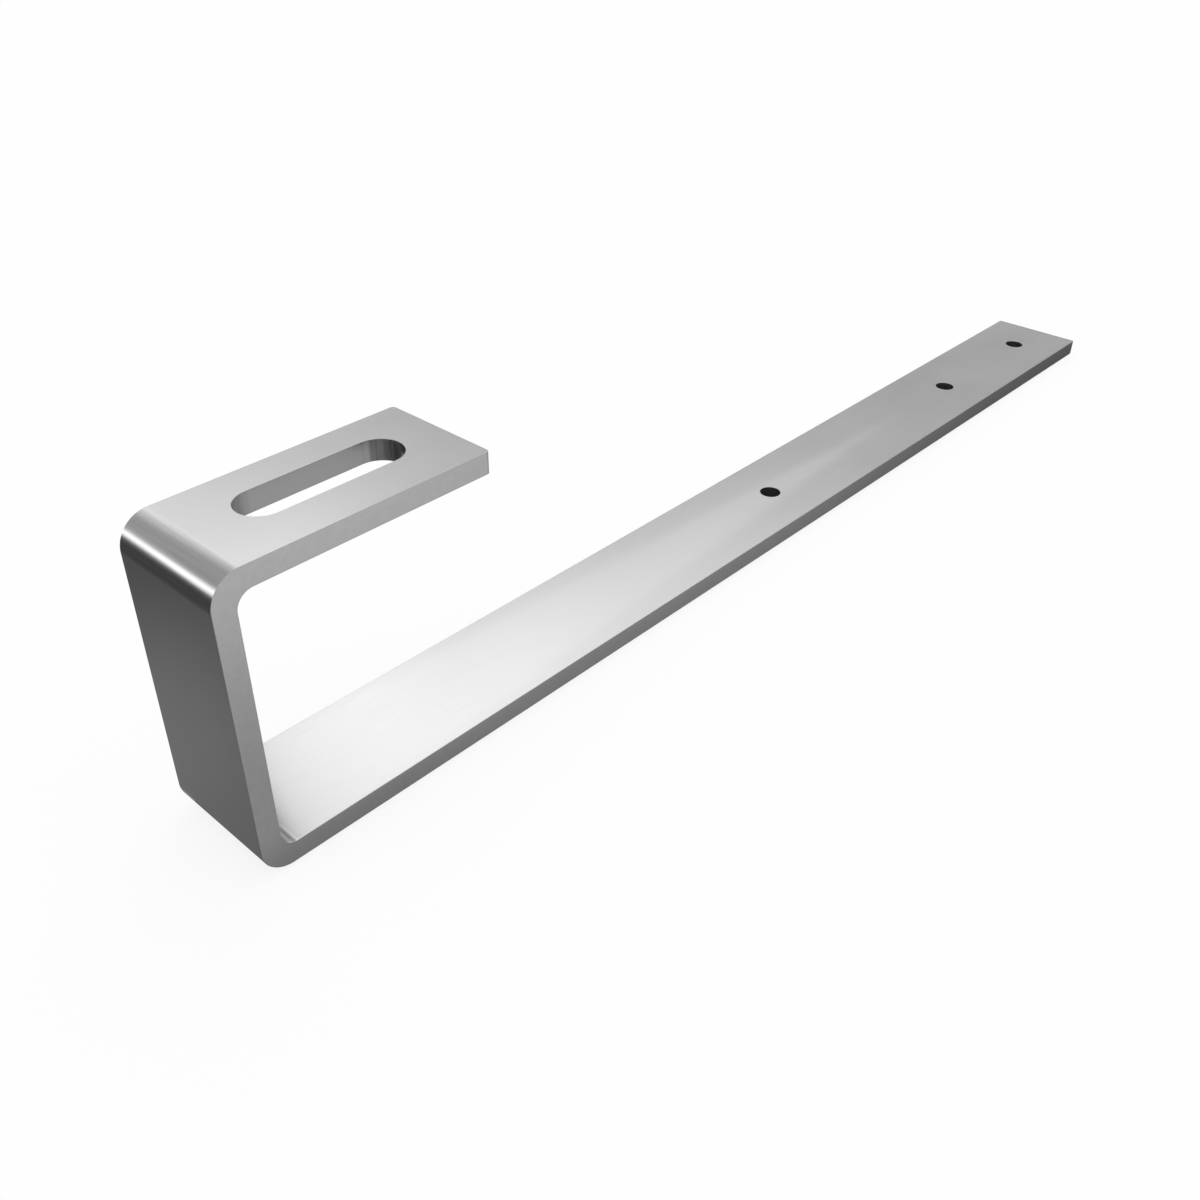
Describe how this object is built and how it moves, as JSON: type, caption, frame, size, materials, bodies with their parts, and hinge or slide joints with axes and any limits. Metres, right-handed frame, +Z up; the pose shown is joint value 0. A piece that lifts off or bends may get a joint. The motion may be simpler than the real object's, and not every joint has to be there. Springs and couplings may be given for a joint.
{
  "type": "solar roof hook",
  "caption": "Bent flat-bar roof hook: a long drilled arm screws to a rafter, a leg rises in front of the tile and a slotted top plate carries a solar rail.",
  "frame": {"origin": "middle of the bounding box at the arm's underside, which is the face that lies on the rafter", "axes": "+X along the arm from the leg to its free end, +Y across the bar towards the edge that the rail slot is nearer to, +Z up from the rafter"},
  "size_m": [0.366, 0.03, 0.0715],
  "materials": {
    "satin_steel": "satin stainless steel, bare, with evenly dull faces and slightly broken edges"
  },
  "bodies": {
    "root": {"hook_strap": "satin_steel"}
  },
  "joints": []
}
